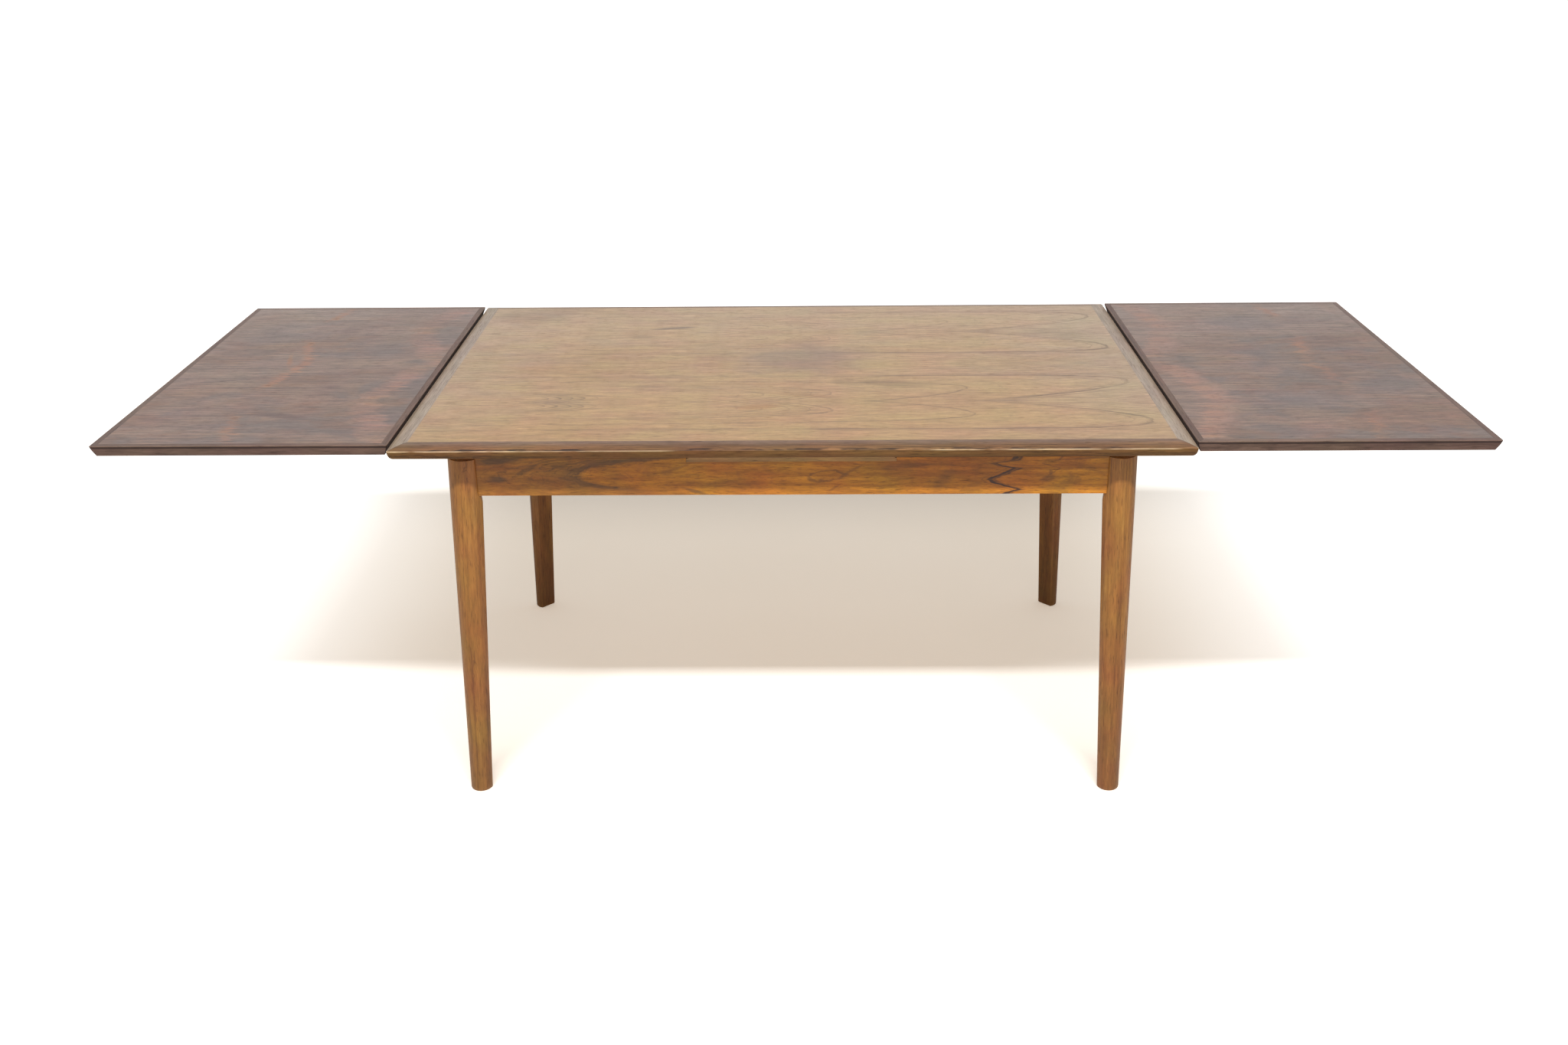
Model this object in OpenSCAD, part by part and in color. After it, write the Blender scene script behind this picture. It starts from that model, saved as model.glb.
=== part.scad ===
// Extending dining table of the draw-leaf kind, shown with both leaves pulled out.
// Millimetres, +Z up, X along the table, Y across it with the front at -Y.
// Origin: centre of the table on the floor.
//
// A loose main top lies on a fixed centre board and is located by two pegs.
// Each leaf is carried by two runners. They slide down and inwards along a slight
// slope, through notches in the end apron and slots in the cross rails, so that
// the leaf goes under the lifted main top and comes back out level with it.

/* [Overall size] */
// Length of the closed table, edge to edge of the main top
top_l = 1396; // [1240:2:1600]
// Width of the main top
top_w = 892; // [780:2:1000]
// Height of the table
height = 735; // [700:1:780]
// Length of one leaf
leaf_l = 520; // [440:1:560]

/* [Position] */
// Leaves pushed in under the main top: 0 out, 1 in
leaf_in = 0; // [0:1:1]

/* [Main top] */
// Thickness of the main top at its field
top_t = 24; // [20:0.5:28]
// Width of the solid lipping round the field
lip_w = 31; // [20:1:45]
// Fall of the lipping's upper face from the field to the outer arris
edge_fall = 6.5; // [3:0.5:9]
// How far the rounded lower half of the edge runs in under the arris
edge_in = 13; // [6:0.5:18]
// Flat taken off the tip of each corner
corner_break = 2.5; // [1:0.5:5]

/* [Leaves] */
// Thickness of a leaf
leaf_t = 20.5; // [17:0.5:24]
// How much narrower a leaf is than the main top, on each side
leaf_side_in = 15.5; // [8:0.5:24]
// Gap between a leaf and the main top's arris
leaf_gap = 1.5; // [1:0.1:3]
// Width of a leaf's lipping
leaf_lip = 12; // [11:0.5:20]
// Undercut of a leaf's bevelled edge
leaf_bevel = 7.5; // [4:0.5:10.5]
// Square part of a leaf's edge above the bevel
leaf_arris = 1.6; // [1:0.1:4]

/* [Legs] */
// Centre of a foot, in from the closed table's end
foot_in_x = 86.3; // [76:0.1:110]
// Centre of a foot, in from the main top's side
foot_in_y = 61.6; // [52:0.1:80]
// Lean of a leg towards the middle of the table along X, mm per metre
lean_x = 42; // [30:1:50]
// Lean of a leg along Y, mm per metre
lean_y = 34; // [25:1:42]
// Diameter of a leg at the floor
foot_d = 42.8; // [36:0.1:50]
// Diameter of a leg at the top of the apron
leg_d = 61.6; // [56:0.1:66]
// Axis to the flat inner face, at the floor
foot_flat = 12; // [8:0.5:16]
// Axis to the flat inner face, at the top of the apron
leg_flat = 18.8; // [15:0.1:22]

/* [Apron] */
// Depth of the aprons
apron_h = 71; // [68:1:90]
// Thickness of the aprons
apron_t = 22; // [18:0.5:26]
// Outer face of an apron, out from the leg's axis at the apron's lower edge
apron_out = 16.4; // [12:0.1:18]
// Height over which a leg runs out to its full section below the apron
run_out = 16.5; // [8:0.5:30]
// Thickness of a corner block at its thin upper end
block_t = 30; // [24:1:40]

/* [Centre board] */
// Side of the centre board, in from the inner end of a leaf that is pushed in
board_side = 6; // [4:0.5:12]
// Width of the lip along each side of the centre board
board_lip = 14; // [8:0.5:18]
// Thickness of that lip at its edge
board_lip_t = 6.2; // [4:0.1:10]
// Height of the slope between the lip and the board's side
board_slope = 4.2; // [2:0.1:6]
// Diameter of the two pegs that locate the main top
peg_d = 18; // [12:1:24]
// Length of a peg below the main top
peg_down = 45; // [42:1:60]
// Distance of each peg from the middle of the table
peg_y = 300; // [280:5:320]

/* [Slides] */
// Width of a runner
runner_w = 24; // [18:1:28]
// Height of a runner's sliding bar
runner_h = 26; // [20:0.5:27]
// Outer face of each runner pair from the middle: right leaf
runner_y_right = 206; // [190:1:210]
// Outer face of each runner pair from the middle: left leaf
runner_y_left = 250; // [246:1:262]
// Middle of a cross rail, in from the edge of the centre board's lip
rail_in = 26; // [20:1:44]
// Thickness of a cross rail
rail_t = 22; // [18:1:26]
// Wood left in a cross rail above the slot
rail_web = 8.7; // [7:0.1:12]
// Distance a leaf can be pulled past its place before the stop pegs meet the rail
over_pull = 10.5; // [6:0.5:16]
// Diameter of a stop peg
stop_d = 8; // [6:0.5:10]
// How far a stop peg stands out at each side of its runner
stop_out = 5; // [4:0.5:8]
// Start of a runner's full height, in from the leaf's inner end
runner_step = 46; // [40:1:80]
// Outer end of a runner, in from the leaf's outer end
runner_end = 70; // [40:5:120]

/* [Fixings] */
// Diameter of the hanger bolts
bolt_d = 8; // [6:0.5:9]
// Depth of a hanger bolt in its leg
bolt_in = 26; // [20:1:32]
// Width of a nut across its flats
nut_af = 13; // [11:0.5:17]
// Thickness of a nut
nut_h = 6.5; // [4:0.5:8]
// Diameter of a washer
washer_d = 20; // [16:1:24]
// Thickness of a washer
washer_t = 1.6; // [1:0.1:2.5]
// Diameter of the wood screws
screw_d = 4; // [3.5:0.1:5]
// Length of the screws that hold the centre board
board_screw_l = 42; // [36:1:46]
// Length of the screws that hold a leaf on its runners
leaf_screw_l = 28; // [22:1:32]
// Centre board screws in the cross rails, from the middle of the table
rail_screw_y = 100; // [60:5:150]
// Centre board screws in the long aprons, in from the middle of a cross rail
apron_screw_in = 40; // [25:1:60]

/* [Clearances] */
// Between a leaf pushed in and what is above and below it
leaf_clear = 1; // [0.6:0.1:2]
// Below and above a runner in its notch or slot
slide_clear = 0.4; // [0.3:0.1:1]
// At each side of a runner
side_clear = 0.6; // [0.4:0.1:1.5]
// Between the centre board's lip and a leaf pushed in above it
lip_clear = 2.3; // [1.5:0.1:5]
// Round a peg in the centre board, on the radius
peg_clear = 0.6; // [0.4:0.1:1]
// Between the centre board and the sides of its notch
notch_clear = 0.3; // [0.2:0.1:1]

/* [Hidden] */
$fn = 64;
eps = 0.01;
L = top_l / 2;
W = top_w / 2;
root2 = sqrt(2);

// levels
top_under = height - top_t;
leaf_rise = top_t + leaf_clear;
leaf_under = height - leaf_t;
leaf_low = leaf_under - leaf_rise;
apron_top = leaf_low - leaf_clear;
apron_bot = apron_top - apron_h;
board_bot = leaf_low - lip_clear - board_lip_t;

// leaf: place, travel and slope
leaf_x0 = L + leaf_gap;
leaf_x1 = leaf_x0 + leaf_l;
leaf_y = W - leaf_side_in;
travel = leaf_l + leaf_gap;
slope = leaf_rise / travel;

// centre board: its side follows the inner end of a leaf that is in
board_x = leaf_x0 - travel - board_side;
board_lip_x = board_x + board_lip;
rail_x = board_lip_x - rail_in;
screw_side_x = rail_x - apron_screw_in;
pilot_z = top_under - board_screw_l - 4;

// legs: the axis leans, and the section tapers, from the foot to the apron
foot_x = L - foot_in_x;
foot_y = W - foot_in_y;
function leg_x(z) = foot_x - lean_x * z / 1000;
function leg_y(z) = foot_y - lean_y * z / 1000;
function leg_r(z) = (foot_d + (leg_d - foot_d) * z / apron_top) / 2;
function leg_f(z) = foot_flat + (leg_flat - foot_flat) * z / apron_top;
// distance of the flat inner face from the origin, measured along the diagonal
function flat_q(z) = (leg_x(z) + leg_y(z)) / root2 - leg_f(z);
flat_lean = atan((flat_q(0) - flat_q(apron_top)) / apron_top);

// aprons: outer faces, and ends where that face meets the round of the leg
long_y = leg_y(apron_bot) + apron_out;
end_x = leg_x(apron_bot) + apron_out;
end_reach = sqrt(pow(leg_r(apron_bot), 2) - pow(apron_out, 2));
long_x = leg_x(apron_bot) - end_reach + 0.5;
end_y = leg_y(apron_bot) - end_reach + 0.5;

// corner block and its bolts
block_q = flat_q(apron_top) - block_t;
block_z0 = apron_bot + 6;
block_z1 = apron_top - 6;
bolt_z = [apron_bot + 0.3 * apron_h, apron_bot + 0.7 * apron_h];

// runners, drawn for the right leaf pulled out
rail_bot = apron_bot + 2.5;
stop_x = rail_x - rail_t / 2 - over_pull - stop_d / 2;
runner_x0 = stop_x - 1.5 * stop_d;
runner_x1 = leaf_x1 - runner_end;
step_x = leaf_x0 + runner_step;
function run_z(x) = board_bot - rail_web - runner_h + slope * (x - rail_x);
screw_x = [step_x + 25, (step_x + runner_x1) / 2, runner_x1 - 50];
leaf_screw_z = leaf_under + 11 - leaf_screw_l;

col_field = [0.70, 0.61, 0.53];
col_lip = [0.56, 0.48, 0.43];
col_leaf = [0.46, 0.40, 0.37];
col_leaf_lip = [0.36, 0.29, 0.26];
col_apron = [0.52, 0.33, 0.18];
col_leg = [0.60, 0.40, 0.23];
col_inner = [0.66, 0.50, 0.33];
col_steel = [0.62, 0.62, 0.60];

// Placing

// a corner drawn at +X +Y, put at the corner whose signs are given
module corner(sx, sy) {
    mirror([sx < 0 ? 1 : 0, 0, 0]) mirror([0, sy < 0 ? 1 : 0, 0]) children();
}

// all four corners
module corners() {
    for (sx = [-1, 1], sy = [-1, 1]) corner(sx, sy) children();
}

// the right leaf's place, or its mirror image for the left leaf
module leaf_place(side) {
    mirror([side < 0 ? 1 : 0, 0, 0])
        translate([-travel * leaf_in, 0, -leaf_rise * leaf_in]) children();
}

// a profile of (distance in from the edge, height) run along +X and mitred at both ends
module mitred(profile, len) {
    difference() {
        translate([-len / 2, 0, 0]) rotate([90, 0, 90]) linear_extrude(len) polygon(profile);
        for (s = [-1, 1])
            translate([s * len / 2, 0, 0]) rotate([0, 0, s > 0 ? 45 : -45])
                translate([s > 0 ? 0 : -200, -100, height - 200]) cube([200, 200, 400]);
    }
}

// a bar of constant width, cut from a side view in X and Z
module side_cut(points, y, w) {
    translate([0, y + w / 2, 0]) rotate([90, 0, 0]) linear_extrude(w) polygon(points);
}

// a countersunk wood screw, head up, top of the head at the origin
module wood_screw(head_d, len) {
    d = screw_d;
    difference() {
        union() {
            translate([0, 0, -head_d / 3]) cylinder(d1 = d, d2 = head_d, h = head_d / 3);
            translate([0, 0, 4 - len]) cylinder(d = d, h = len - 4 - head_d / 3 + eps);
            translate([0, 0, -len]) cylinder(d1 = 0.6, d2 = d, h = 4 + eps);
        }
        translate([-head_d, -0.5, -1]) cube([2 * head_d, 1, 2]);
    }
}

// Legs and their fixing

// on the flat inner face of a leg: +X runs into the leg, +Y along the face
module on_flat() {
    rotate([0, 0, 45]) translate([flat_q(0), (foot_y - foot_x) / root2, 0])
        rotate([0, -flat_lean, 0]) children();
}

// side view of the wood cut away under an apron whose end is at e
function run_out_side(e) = [[e - 60, apron_bot + 1], [e - 2.1, apron_bot + 1],
                            [e - 4.4, apron_bot - run_out], [e - 60, apron_bot - run_out]];

// a round tapered leg with a flat inner face, let into the corner of the aprons
module leg() {
    lean = atan(sqrt(pow(lean_x, 2) + pow(lean_y, 2)) / 1000);
    turn = atan2(lean_y, lean_x);
    below = 20;
    above = apron_top + 20;
    difference() {
        translate([foot_x, foot_y, 0]) rotate([0, -lean, turn])
            translate([0, 0, -below])
                cylinder(r1 = leg_r(-below), r2 = leg_r(above), h = above + below);
        translate([foot_x - 100, foot_y - 100, -60]) cube([200, 200, 60]);
        translate([foot_x - 150, foot_y - 150, apron_top]) cube([300, 300, 60]);
        on_flat() translate([-150, -100, -60]) cube([150, 200, height + 100]);
        // seats for the ends of the two aprons
        translate([long_x - 60, leg_y(apron_top) - 80, apron_bot]) cube([60, 160, 120]);
        translate([leg_x(apron_top) - 80, end_y - 60, apron_bot]) cube([160, 60, 120]);
        // run-out below them
        side_cut(run_out_side(long_x), leg_y(apron_bot), 160);
        translate([leg_x(apron_bot) - 80, 0, 0]) rotate([90, 0, 90]) linear_extrude(160)
            polygon(run_out_side(end_y));
        for (z = bolt_z) bolt_line(z) translate([0, 0, -bolt_in]) cylinder(d = bolt_d, h = 2 * bolt_in);
    }
}

// the line of a hanger bolt: +Z runs from the leg's flat face into the table
module bolt_line(z) {
    c = (leg_x(z) - leg_y(z)) / root2;
    rotate([0, 0, 45]) translate([flat_q(z), -c, z]) rotate([0, -90, 0]) children();
}

// corner block glued between the two aprons, its outer face on the leg's flat
module block() {
    x1 = end_x - apron_t;
    y1 = long_y - apron_t;
    s = block_q * root2;
    q = flat_q(apron_bot) * root2;
    difference() {
        translate([0, 0, block_z0]) linear_extrude(block_z1 - block_z0)
            polygon([[x1, s - x1], [x1, q - x1 + 4], [q - y1 + 4, y1], [s - y1, y1]]);
        on_flat() translate([0, -100, -60]) cube([100, 200, height + 100]);
        for (z = bolt_z) bolt_line(z) translate([0, 0, -10]) cylinder(d = bolt_d + 1, h = block_t + 50);
    }
}

module hanger_bolt(z) {
    bolt_line(z) translate([0, 0, -bolt_in])
        cylinder(d = bolt_d, h = bolt_in + flat_q(z) - block_q + washer_t + nut_h + 5);
}

module washer(z) {
    bolt_line(z) translate([0, 0, flat_q(z) - block_q]) difference() {
        cylinder(d = washer_d, h = washer_t);
        translate([0, 0, -1]) cylinder(d = bolt_d + 0.6, h = washer_t + 2);
    }
}

module nut(z) {
    bolt_line(z) translate([0, 0, flat_q(z) - block_q + washer_t]) difference() {
        cylinder(d = nut_af / cos(30), h = nut_h, $fn = 6);
        translate([0, 0, -1]) cylinder(d = bolt_d, h = nut_h + 2);
    }
}

// Aprons, rails and centre board

// long apron at +Y: notched for the centre board, housed for the cross rails
module long_apron() {
    difference() {
        translate([-long_x, long_y - apron_t, apron_bot]) cube([2 * long_x, apron_t, apron_h]);
        translate([-board_lip_x - notch_clear, long_y - apron_t - 1, board_bot])
            cube([2 * (board_lip_x + notch_clear), apron_t + 2, 60]);
        for (s = [-1, 1]) {
            translate([s * rail_x - rail_t / 2, long_y - apron_t - 1, rail_bot])
                cube([rail_t, 7, 100]);
            translate([s * screw_side_x, long_y - apron_t / 2, pilot_z])
                cylinder(d = screw_d, h = 30);
        }
    }
}

// end apron at +X: two sloping notches, y is the middle of each runner
module end_apron(y) {
    x0 = end_x - apron_t - 5;
    x1 = end_x + 5;
    difference() {
        translate([end_x - apron_t, -end_y, apron_bot]) cube([apron_t, 2 * end_y, apron_h]);
        for (s = [-1, 1])
            side_cut([[x0, run_z(x0) - slide_clear], [x1, run_z(x1) - slide_clear],
                      [x1, apron_top + 20], [x0, apron_top + 20]],
                     s * y, runner_w + 2 * side_clear);
    }
}

// a sloping slot through a cross rail, for a runner that rises with x
module rail_slot(x, y, w, low, high) {
    x0 = x - rail_t / 2 - 4;
    x1 = x + rail_t / 2 + 4;
    side_cut([[x0, run_z(x0) - low], [x1, run_z(x1) - low],
              [x1, run_z(x1) + runner_h + high], [x0, run_z(x0) + runner_h + high]], y, w);
}

// cross rail at +X: its own leaf's runners are held close in the upper slots, and
// the far leaf's runners pass with their stop pegs through the lower ones
module cross_rail(own_y, far_y) {
    reach = long_y - apron_t + 6;
    difference() {
        translate([rail_x - rail_t / 2, -reach, rail_bot])
            cube([rail_t, 2 * reach, board_bot - rail_bot]);
        for (s = [-1, 1]) {
            rail_slot(rail_x, s * own_y, runner_w + 2 * side_clear, slide_clear, slide_clear);
            mirror([1, 0, 0])
                rail_slot(-rail_x, s * far_y, runner_w + 2 * stop_out + 3, slide_clear + 0.4, 1);
            translate([rail_x, s * rail_screw_y, pilot_z]) cylinder(d = screw_d, h = 30);
        }
    }
}

screw_spots = [for (s = [-1, 1], t = [-1, 1]) each
    [[s * rail_x, t * rail_screw_y], [s * screw_side_x, t * (long_y - apron_t / 2)]]];

// centre board: rebated sides with a sloping lip, drilled for the pegs
module centre_board() {
    xs = board_x;
    xl = board_lip_x;
    zl = board_bot + board_lip_t;
    difference() {
        translate([0, long_y, 0]) rotate([90, 0, 0]) linear_extrude(2 * long_y)
            polygon([[-xl, board_bot], [xl, board_bot], [xl, zl], [xs + 1, zl + board_slope],
                     [xs, zl + board_slope + 2], [xs, top_under], [-xs, top_under],
                     [-xs, zl + board_slope + 2], [-xs - 1, zl + board_slope], [-xl, zl]]);
        for (s = [-1, 1])
            translate([0, s * peg_y, board_bot - 5]) cylinder(r = peg_d / 2 + peg_clear, h = 60);
        for (p = screw_spots) translate([p[0], p[1], 0]) {
            translate([0, 0, board_bot - 5]) cylinder(d = screw_d + 1, h = 60);
            translate([0, 0, top_under - 0.8 * screw_d - 0.4])
                cylinder(d1 = screw_d + 0.2, d2 = 2.4 * screw_d + 1.8, h = 0.8 * screw_d + 0.4 + eps);
        }
    }
}

// Main top

// edge of the main top: a convex upper face, the arris, and a rounded lower half
top_edge = concat(
    [for (i = [0:6]) let (t = i / 6) [lip_w * t, height - edge_fall * pow(1 - t, 1.7)]],
    [[lip_w, top_under]],
    [for (i = [6:-1:1]) let (a = i * 15)
        [edge_in * (1 - cos(a)), height - edge_fall - (top_t - edge_fall) * sin(a)]]);

module corner_tip() {
    translate([L, W, height - 50]) rotate([0, 0, 45])
        translate([-corner_break / root2, -20, 0]) cube([40, 40, 100]);
}

module top_panel() {
    x = L - lip_w;
    y = W - lip_w;
    difference() {
        translate([-x, -y, top_under]) cube([2 * x, 2 * y, top_t]);
        for (s = [-1, 1]) translate([0, s * peg_y, top_under - 5]) cylinder(d = peg_d, h = 17);
    }
}

module top_lip(len, half) {
    translate([0, -half, 0]) mitred(top_edge, len);
}

module top_lip_long() {
    difference() {
        top_lip(top_l, W);
        mirror([0, 1, 0]) corner_tip();
        mirror([1, 0, 0]) mirror([0, 1, 0]) corner_tip();
    }
}

module top_lip_end() {
    difference() {
        rotate([0, 0, 90]) top_lip(top_w, L);
        corner_tip();
        mirror([0, 1, 0]) corner_tip();
    }
}

module guide_pegs() {
    for (s = [-1, 1]) translate([0, s * peg_y, 0]) {
        translate([0, 0, top_under - peg_down + 4]) cylinder(d = peg_d, h = peg_down + 8);
        translate([0, 0, top_under - peg_down]) cylinder(d1 = peg_d - 5, d2 = peg_d, h = 4 + eps);
    }
}

// Leaves, drawn for the right one

leaf_edge = [[0, height], [leaf_lip, height], [leaf_lip, leaf_under],
             [leaf_bevel, leaf_under], [0, height - leaf_arris]];

module leaf_panel(y) {
    difference() {
        translate([leaf_x0 + leaf_lip, -leaf_y + leaf_lip, leaf_under])
            cube([leaf_l - 2 * leaf_lip, 2 * (leaf_y - leaf_lip), leaf_t]);
        for (x = screw_x, s = [-1, 1])
            translate([x, s * y, leaf_under - 5]) cylinder(d = screw_d, h = 5 + 12);
    }
}

module leaf_lip_long() {
    translate([leaf_x0 + leaf_l / 2, -leaf_y, 0]) mitred(leaf_edge, leaf_l);
}

module leaf_lip_end(x, turn) {
    translate([x, 0, 0]) rotate([0, 0, turn]) mitred(leaf_edge, 2 * leaf_y);
}

// runner: a sloping bar that fills up to the leaf beyond the main top
module runner(y) {
    difference() {
        side_cut([[runner_x0, run_z(runner_x0)], [runner_x1 - 14, run_z(runner_x1 - 14)],
                  [runner_x1, leaf_under - 12], [runner_x1, leaf_under], [step_x, leaf_under],
                  [step_x, run_z(step_x) + runner_h], [runner_x0, run_z(runner_x0) + runner_h]],
                 y, runner_w);
        translate([stop_x, y - 30, run_z(stop_x) + runner_h / 2]) rotate([-90, 0, 0])
            cylinder(d = stop_d, h = 60);
        for (x = screw_x) translate([x, y, 0]) {
            translate([0, 0, leaf_under - 60]) cylinder(d = screw_d + 0.6, h = 80);
            translate([0, 0, leaf_screw_z - 57]) cylinder(d = 2 * screw_d + 1, h = 60);
        }
    }
}

module stop_pegs(y) {
    for (s = [-1, 1])
        translate([stop_x, s * y - runner_w / 2 - stop_out, run_z(stop_x) + runner_h / 2])
            rotate([-90, 0, 0]) cylinder(d = stop_d, h = runner_w + 2 * stop_out);
}

module runner_screws(y) {
    for (x = screw_x, s = [-1, 1])
        translate([x, s * y, leaf_screw_z]) rotate([180, 0, 0]) wood_screw(2 * screw_d, leaf_screw_l);
}

// Pieces

module leg_front_left() color(col_leg) corner(-1, -1) leg();
module leg_front_right() color(col_leg) corner(1, -1) leg();
module leg_back_left() color(col_leg) corner(-1, 1) leg();
module leg_back_right() color(col_leg) corner(1, 1) leg();
module apron_front() color(col_apron) mirror([0, 1, 0]) long_apron();
module apron_back() color(col_apron) long_apron();
module apron_left() color(col_apron) mirror([1, 0, 0]) end_apron(runner_y_left);
module apron_right() color(col_apron) end_apron(runner_y_right);
module cross_rail_left() color(col_inner) mirror([1, 0, 0]) cross_rail(runner_y_left, runner_y_right);
module cross_rail_right() color(col_inner) cross_rail(runner_y_right, runner_y_left);
module centre_board_piece() color(col_leaf) centre_board();
module block_front_left() color(col_inner) corner(-1, -1) block();
module block_front_right() color(col_inner) corner(1, -1) block();
module block_back_left() color(col_inner) corner(-1, 1) block();
module block_back_right() color(col_inner) corner(1, 1) block();
module hanger_bolts() color(col_steel) corners() for (z = bolt_z) hanger_bolt(z);
module washers() color(col_steel) corners() for (z = bolt_z) washer(z);
module nuts() color(col_steel) corners() for (z = bolt_z) nut(z);
module board_screws() color(col_steel)
    for (p = screw_spots)
        translate([p[0], p[1], top_under - 0.4]) wood_screw(2.4 * screw_d, board_screw_l);
module main_panel() color(col_field) top_panel();
module top_lip_front() color(col_lip) top_lip_long();
module top_lip_back() color(col_lip) mirror([0, 1, 0]) top_lip_long();
module top_lip_right() color(col_lip) top_lip_end();
module top_lip_left() color(col_lip) mirror([1, 0, 0]) top_lip_end();
module pegs() color(col_inner) guide_pegs();

// pieces of one leaf: side is -1 for the left leaf and 1 for the right one
module a_panel(side, y) color(col_leaf) leaf_place(side) leaf_panel(y);
module a_lip_front(side) color(col_leaf_lip) leaf_place(side) leaf_lip_long();
module a_lip_back(side) color(col_leaf_lip) leaf_place(side) mirror([0, 1, 0]) leaf_lip_long();
module a_lip_outer(side) color(col_leaf_lip) leaf_place(side) leaf_lip_end(leaf_x1, 90);
module a_lip_inner(side) color(col_leaf_lip) leaf_place(side) leaf_lip_end(leaf_x0, -90);
module a_runner(side, y) color(col_inner) leaf_place(side) runner(y);
module a_stop(side, y) color(col_inner) leaf_place(side) stop_pegs(y);
module a_screws(side, y) color(col_steel) leaf_place(side) runner_screws(y);

leg_front_left();
leg_front_right();
leg_back_left();
leg_back_right();
apron_front();
apron_back();
apron_left();
apron_right();
cross_rail_left();
cross_rail_right();
centre_board_piece();  // centre_board
block_front_left();
block_front_right();
block_back_left();
block_back_right();
hanger_bolts();
washers();
nuts();
board_screws();
main_panel();  // top_panel
top_lip_front();
top_lip_back();
top_lip_left();
top_lip_right();
pegs();  // guide_pegs
a_panel(-1, runner_y_left);  // leaf_left_panel
a_lip_front(-1);  // leaf_left_lip_front
a_lip_back(-1);  // leaf_left_lip_back
a_lip_outer(-1);  // leaf_left_lip_outer
a_lip_inner(-1);  // leaf_left_lip_inner
a_runner(-1, -runner_y_left);  // runner_left_front
a_runner(-1, runner_y_left);  // runner_left_back
a_stop(-1, runner_y_left);  // stop_pegs_left
a_screws(-1, runner_y_left);  // runner_screws_left
a_panel(1, runner_y_right);  // leaf_right_panel
a_lip_front(1);  // leaf_right_lip_front
a_lip_back(1);  // leaf_right_lip_back
a_lip_outer(1);  // leaf_right_lip_outer
a_lip_inner(1);  // leaf_right_lip_inner
a_runner(1, -runner_y_right);  // runner_right_front
a_runner(1, runner_y_right);  // runner_right_back
a_stop(1, runner_y_right);  // stop_pegs_right
a_screws(1, runner_y_right);  // runner_screws_right
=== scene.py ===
import math

import bpy
import numpy as np
from mathutils import Matrix


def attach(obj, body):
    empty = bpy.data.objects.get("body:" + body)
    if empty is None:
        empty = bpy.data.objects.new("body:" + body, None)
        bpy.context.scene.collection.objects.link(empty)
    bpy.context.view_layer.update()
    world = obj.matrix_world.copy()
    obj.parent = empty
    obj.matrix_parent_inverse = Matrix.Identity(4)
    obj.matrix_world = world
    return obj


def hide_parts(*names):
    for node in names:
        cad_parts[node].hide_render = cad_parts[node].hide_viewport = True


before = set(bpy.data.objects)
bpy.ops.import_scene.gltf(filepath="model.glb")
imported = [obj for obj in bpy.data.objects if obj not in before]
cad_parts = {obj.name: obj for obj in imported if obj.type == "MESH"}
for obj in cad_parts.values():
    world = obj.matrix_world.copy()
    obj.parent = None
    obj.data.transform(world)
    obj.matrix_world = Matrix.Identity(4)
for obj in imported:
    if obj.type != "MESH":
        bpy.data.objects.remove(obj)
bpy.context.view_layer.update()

# Legs: four solid rosewood legs, round and tapered, planed flat on the side that faces the
# middle of the table. Each is let into the corner of the aprons, which it carries, and runs out
# to its full section just below them.


def seen(r, g, b):
    """A colour as it looks on a screen, 0 to 255, turned into the linear colour that a shader takes."""
    return tuple((c / 255 / 12.92) if c < 10.3 else ((c / 255 + 0.055) / 1.055) ** 2.4 for c in (r, g, b))


class Level:
    """A number or colour that varies over the surface. Arithmetic on it adds that step to the finish."""

    def __init__(self, finish, socket):
        self.finish, self.socket = finish, socket

    def __add__(self, other):
        return self.finish.calc("ADD", self, other)

    def __sub__(self, other):
        return self.finish.calc("SUBTRACT", self, other)

    def __rsub__(self, other):
        return self.finish.calc("SUBTRACT", other, self)

    def __mul__(self, other):
        return self.finish.calc("MULTIPLY", self, other)

    def __truediv__(self, other):
        return self.finish.calc("DIVIDE", self, other)

    def __pow__(self, other):
        return self.finish.calc("POWER", self, other)

    def __abs__(self):
        return self.finish.calc("ABSOLUTE", self)


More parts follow.
